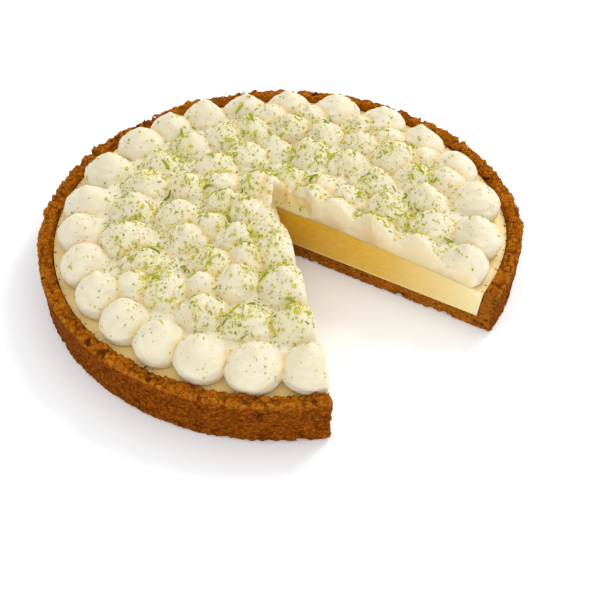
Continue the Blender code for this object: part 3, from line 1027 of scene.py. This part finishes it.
def curd_material(tone):
    """Set lemon curd: painted shade in deep gold towards the middle, paler outwards, with a soft
    shine.
    """
    made, bench, shader = new_material("lemon_curd")
    broad = bench.placed(tone, Size=0.014, Flatness=0.5, Detail=2)
    fine = bench.placed(tone, Size=0.0035, Flatness=3.0, Detail=3)
    # Painted shade: deep gold towards the middle and the notch's tip, and paler outwards.
    colour = bench.blend(bench.mark("shade_to_light_outward"), (0.66, 0.37, 0.002), (0.84, 0.79, 0.5))
    colour = bench.tint(colour, broad["Tone"], 0.3, (0.74, 0.46, 0.03))
    colour = bench.tint(colour, fine["Tone"], 0.22, (0.9, 0.74, 0.3))
    colour = bench.blend(bench.mark("baked"), colour, (0.93, 0.68, 0.26))
    colour = bench.tint(colour, bench.mark("seam"), 0.6, (0.86, 0.72, 0.36))
    finish_with(bench, shader, colour, 0.34, fine["Height"], 0.0003, 0.5)
    let_light_in(shader, 0.35, (1.0, 0.6, 0.12), 0.004)
    return made


def cream_material(tone):
    """Piped cream: off-white satin, with painted warm shade where the domes meet, along their foot
    and on the cut faces, and green-gold under the zest.
    """
    made, bench, shader = new_material("piped_cream")
    broad = bench.placed(tone, Size=0.008, Flatness=1.0, Detail=2)
    fine = bench.placed(tone, Size=0.0009, Flatness=2.2, Detail=4)
    colour = bench.blend(broad["Tone"], (0.77, 0.69, 0.495), (0.82, 0.75, 0.57))
    # Painted warm shade and bounce from the curd on the cut faces of the cream.
    colour = bench.tint(colour, bench.mark("cut_face"), 0.5, (0.86, 0.73, 0.48))
    # Painted shade, warm and darker, in the creases between the domes and along their foot.
    colour = bench.tint(colour, bench.mark("crease_shade"), 0.8, (0.8, 0.6, 0.24))
    colour = bench.tint(colour, bench.mark("stain"), 0.42, (0.74, 0.68, 0.14))
    finish_with(bench, shader, colour, 0.5, fine["Height"], 0.0006, 0.6)
    let_light_in(shader, 0.5, (1.0, 0.75, 0.4), 0.004)
    return made


def zest_material(tone):
    """Lime zest, from yellow-green through olive to dark green."""
    made, bench, shader = new_material("lime_zest")
    patches = bench.placed(tone, Size=0.0006, Flatness=1.0, Detail=2)
    ramp = bench.node("ShaderNodeValToRGB", {"Fac": bench.mark("ripeness")})
    stops = (
        (0.0, (0.6, 0.47, 0.01)),
        (0.35, (0.47, 0.46, 0.006)),
        (0.7, (0.24, 0.31, 0.003)),
        (1.0, (0.08, 0.13, 0.002)),
    )
    while len(ramp.color_ramp.elements) < len(stops):
        ramp.color_ramp.elements.new(0.5)
    for element, (place, colour) in zip(ramp.color_ramp.elements, stops):
        element.position = place
        element.color = (*colour, 1)
    colour = bench.tint(ramp.outputs[0], patches["Tone"], 0.25, (0.66, 0.6, 0.02))
    finish_with(bench, shader, colour, 0.6, patches["Height"], 0.0001, 0.5)
    shader.inputs["Specular IOR Level"].default_value = 0.15
    return made


def floor_material(tone):
    made, bench, shader = new_material("pale_floor")
    patches = bench.placed(tone, Size=0.3, Flatness=1.0, Detail=1)
    colour = bench.blend(patches["Tone"], (0.93, 0.93, 0.93), (0.94, 0.94, 0.94))
    finish_with(bench, shader, colour, 0.9, patches["Height"], 0.00001, 0.1)
    shader.inputs["Emission Color"].default_value = (1, 1, 1, 1)
    shader.inputs["Emission Strength"].default_value = 0.1
    return made


class ZestPile:
    """Gathers many small pieces into one mesh, with a ripeness for each."""

    def __init__(self):
        self.points = []
        self.faces = []
        self.ripeness = []

    def add(self, points, faces, ripeness):
        start = len(self.points)
        self.points += [tuple(point) for point in points]
        self.faces += [tuple(start + corner for corner in face) for face in faces]
        self.ripeness += [ripeness] * len(points)

    def build(self, name, mark="ripeness"):
        obj = mesh_object(name, self.points, self.faces)
        store(obj, mark, np.array(self.ripeness))
        points = point_array(obj)
        keep_low(points)
        move_points(obj, points)
        return obj


def surface_at(tree, place):
    """The surface under a place, as a point and its normal."""
    return tree.ray_cast(Vector((*place, ABOVE_ALL)), Vector((0, 0, -1)))[:2]


def speck(pile, point, normal, size, draw, ripeness):
    """One uneven flake lying on the surface."""
    side = normal.cross(unit_vector(draw)).normalized()
    ahead = normal.cross(side).normalized()
    up = (normal + 0.5 * unit_vector(draw)).normalized()
    length = size * draw.uniform(0.7, 1.6) / 2
    width = size * draw.uniform(0.4, 0.8) / 2
    thick = size * draw.uniform(0.18, 0.35)
    points = []
    for level in (-0.4, 1):
        for across, along in ((-1, -1), (1, -1), (1, 1), (-1, 1)):
            shrink = draw.uniform(0.55, 1.1)
            offset = side * across * width * shrink + ahead * along * length * shrink
            points.append(point + offset + up * thick * level)
    pile.add(points, BLOCK_FACES, ripeness)


def unit_vector(draw):
    turn = draw.uniform(0, math.tau)
    rise = draw.uniform(-1, 1)
    flat = math.sqrt(1 - rise * rise)
    return Vector((flat * math.cos(turn), flat * math.sin(turn), rise))


def shred(pile, tree, start, heading, bend, size, draw, ripeness, stations=8):
    """A curved strip on the cream, if it finds room. size is (length, width, thickness)."""
    length, width, thickness = size
    points = []
    place = start.copy()
    lift = draw.uniform(0, 0.35)
    for station in range(stations):
        share = station / (stations - 1)
        point, normal = surface_at(tree, place)
        if point is None or normal.z < STEEPEST_RISE:
            return False
        along = unit(heading)
        ahead = Vector((along.x, along.y, 0))
        swell = math.sin(math.pi * share)
        across = normal.cross(ahead).normalized() * width / 2 * (0.35 + 0.65 * swell ** 0.6)
        middle = point + normal * (thickness * (0.2 + lift * swell * 3))
        up = normal * thickness / 2
        for side, level in ((-1, -1), (1, -1), (0.8, 1), (-0.8, 1)):
            points.append(middle + across * side + up * level)
        place += along * length / (stations - 1)
        heading += bend * 3 / (stations - 1)
    faces = [(3, 2, 1, 0), tuple(4 * (stations - 1) + corner for corner in range(4))]
    for station in range(stations - 1):
        for corner in range(4):
            here = 4 * station + corner
            after = 4 * station + (corner + 1) % 4
            faces.append((here, after, after + 4, here + 4))
    pile.add(points, faces, ripeness)
    return True


def main_shreds():
    """Where the largest shreds start, which way they head and how they bend."""
    draw = random.Random(ZEST_SEED)
    golden_turn = math.pi * (3 - math.sqrt(5))
    starts = []
    for index in range(1, ZEST_TRIES):
        angle = golden_turn * index + draw.uniform(-0.2, 0.2)
        start = ZEST_REACH * math.sqrt(index / ZEST_TRIES) * unit(angle)
        heading = draw.uniform(0, math.tau)
        bend = ZEST_BEND * draw.uniform(-1, 1)
        if into_notch(*start) < -ZEST_CUT_MARGIN:
            starts.append((start, heading, bend))
    return starts


def zest_density(place):
    """How thickly zest lies, from 0 to 1: in drifts on the inner domes, thin on the outer ring."""
    drift = 0.5 + noise.noise(Vector((place.x, place.y, 0)) / (17 * MM))
    drift += 0.35 * noise.noise(Vector((place.x, place.y, 9)) / (6 * MM))
    pull = float(edge_pull(math.atan2(place.y, place.x)))
    ring = place.length + RING_SHIFT * place.y / max(place.length, MM) + pull
    outside = float(rising(ring, 80 * MM, 10 * MM))
    return (1 - outside) * min(max(drift, 0.22), 1) + outside * 0.1


def near_share(draw, middle, spread):
    """A random share from 0 to 1, most often near the middle value."""
    return min(max(draw.gauss(middle, spread), 0), 1)


def zest_spots(draw, cut_margin):
    """Random places where zest lies, one after another."""
    while True:
        spot = unit(draw.uniform(0, math.tau)) * (SPECK_REACH * math.sqrt(draw.random()))
        if draw.random() <= zest_density(spot) and into_notch(*spot) <= -cut_margin:
            yield spot


def make_zest(cream):
    """Specks and shreds on the finished cream, and where they stain it."""
    tree = BVHTree.FromObject(cream, bpy.context.evaluated_depsgraph_get())
    draw = random.Random(ZEST_SEED + 1)
    specks = ZestPile()
    shreds = ZestPile()
    drops = []
    for start, heading, bend in main_shreds():
        size = (ZEST_LENGTH, ZEST_WIDTH, 0.6 * ZEST_THICKNESS)
        shred(shreds, tree, start, heading, bend, size, draw, draw.uniform(0.45, 0.95))
        drops.append((start, 3.0))
        for _ in range(draw.randint(6, 14)):
            near = start + Vector((draw.gauss(0, 3), draw.gauss(0, 3))) * MM
            point, normal = surface_at(tree, near)
            if point and normal.z > 0.2 and into_notch(*near) < -0.5 * MM:
                size = draw.uniform(0.5, 1.1) * MM
                speck(specks, point, normal, size, draw, draw.uniform(0.2, 0.8))
                drops.append((near, 1.0))
    made = 0
    spots = zest_spots(draw, 0.4 * MM)
    while made < SPECK_COUNT:
        spot = next(spots)
        point, normal = surface_at(tree, spot)
        if point is None or normal.z < STEEPEST_RISE:
            continue
        if point.z < curd_top(spot.length) + 2 * MM:
            continue
        made += 1
        size = min(0.36 * math.exp(abs(draw.gauss(0, 0.55))), 1.4) * MM
        speck(specks, point, normal, size * 1.3, draw, near_share(draw, 0.36, 0.24))
        drops.append((spot, 0.8))
    made = 0
    spots = zest_spots(draw, 4 * MM)
    while made < SHRED_COUNT:
        spot = next(spots)
        length = draw.uniform(1.3, 3.2) * MM
        size = (length, draw.uniform(0.35, 0.75) * MM, draw.uniform(0.25, 0.45) * MM)
        ripeness = near_share(draw, 0.5, 0.22)
        heading = draw.uniform(0, math.tau)
        bend = draw.uniform(-0.7, 0.7)
        if shred(shreds, tree, spot, heading, bend, size, draw, ripeness, 5):
            made += 1
            drops.append((spot, 1.5))
    stain_cream(cream, drops)
    return specks.build("lime_zest_specks"), shreds.build("lime_zest_shreds")


def make_crumbs(curd):
    """Crumbs that fell from the rim on to the bare curd beside it."""
    tree = BVHTree.FromObject(curd, bpy.context.evaluated_depsgraph_get())
    draw = random.Random(CRUMB_SEED)
    crumbs = ZestPile()
    while len(crumbs.points) < BLOCK_CORNERS * CRUMB_COUNT:
        angle = draw.uniform(0, math.tau)
        reach = float(inner_wall(angle, RIM_HEIGHT)) - abs(draw.gauss(0, 1.3)) * MM - 0.5 * MM
        place = unit(angle) * reach
        point, normal = surface_at(tree, place)
        if point is not None and into_notch(*place) < -MM:
            speck(crumbs, point, normal, draw.uniform(0.4, 1.2) * MM, draw, draw.random())
    # The crumbs' random tone goes in the mark that carries the rim's painted highlight.
    return crumbs.build("crust_crumbs", "rim_highlight_and_crumb_tone")


def stain_cream(cream, drops):
    """Colour that has run from the zest, on a map of the cream seen from above."""
    edges = np.arange(-STAIN_REACH, STAIN_REACH + STAIN_CELL, STAIN_CELL)
    places = np.array([tuple(place) for place, _ in drops])
    weights = np.array([weight for _, weight in drops])
    amount = np.histogram2d(*places.T, bins=(edges, edges), weights=weights)[0]
    for _ in range(3):
        for axis in (0, 1):
            amount = (np.roll(amount, 1, axis) + 2 * amount + np.roll(amount, -1, axis)) / 4
    points = point_array(cream)
    columns = ((points[:, :2] + STAIN_REACH) / STAIN_CELL).astype(int)
    found = amount[columns[:, 0], columns[:, 1]]
    upward = rising(point_array(cream, "normal")[:, 2], STEEPEST_RISE, 0.3)
    store(cream, "stain", smooth_step(found / 0.6) * upward)


def make_floor(material):
    bpy.ops.mesh.primitive_plane_add(size=FLOOR_SIZE, location=(0, 0, FLOOR_HEIGHT))
    floor = bpy.context.object
    floor.name = "studio_floor"
    floor.data.materials.append(material)


def make_camera():
    camera = bpy.data.objects.new("camera", bpy.data.cameras.new("camera"))
    bpy.context.scene.collection.objects.link(camera)
    camera.data.lens = CAMERA_LENS
    camera.data.sensor_width = CAMERA_SENSOR
    camera.location = CAMERA_PLACE
    camera.rotation_euler = (math.radians(90 - CAMERA_DOWN_DEG), 0, math.radians(CAMERA_TURN_DEG))
    bpy.context.scene.camera = camera


def soft_light(name, location, size, power):
    lamp = bpy.data.lights.new(name, "AREA")
    lamp.shape = "DISK"
    lamp.size = size
    lamp.energy = power
    obj = bpy.data.objects.new(name, lamp)
    obj.location = location
    obj.rotation_euler = (-Vector(location)).to_track_quat("-Z", "Y").to_euler()
    bpy.context.scene.collection.objects.link(obj)


def make_light():
    world = bpy.data.worlds.new("studio_air")
    world.use_nodes = True
    air = world.node_tree.nodes["Background"].inputs
    air["Color"].default_value = AIR_COLOUR
    air["Strength"].default_value = AIR_STRENGTH
    bpy.context.scene.world = world
    soft_light("window", WINDOW_PLACE, WINDOW_SIZE, WINDOW_POWER)
    soft_light("fill", FILL_PLACE, FILL_SIZE, FILL_POWER)
    bpy.context.scene.view_settings.view_transform = "Standard"


make_camera()
uneven_tone = uneven_tone_group()
fine_crumb = crumb_group()
crust_look = crust_material(uneven_tone, fine_crumb)
zest_look = zest_material(uneven_tone)

crust = make_crust()
mark_crust(crust)
dress(crust, crust_look, "crust")

curd = make_curd()
mark_curd(curd)
dress(curd, curd_material(uneven_tone), "lemon_curd")

dress(make_crumbs(curd), crust_look, None)

outer = outer_dollops()
inner = inner_dollops()
inner += small_dollops(outer + inner)
cream = make_cream(outer + inner, len(outer))
dress(cream, cream_material(uneven_tone), "cream")

for zest in make_zest(cream):
    dress(zest, zest_look, "cream")

make_floor(floor_material(uneven_tone))
make_light()
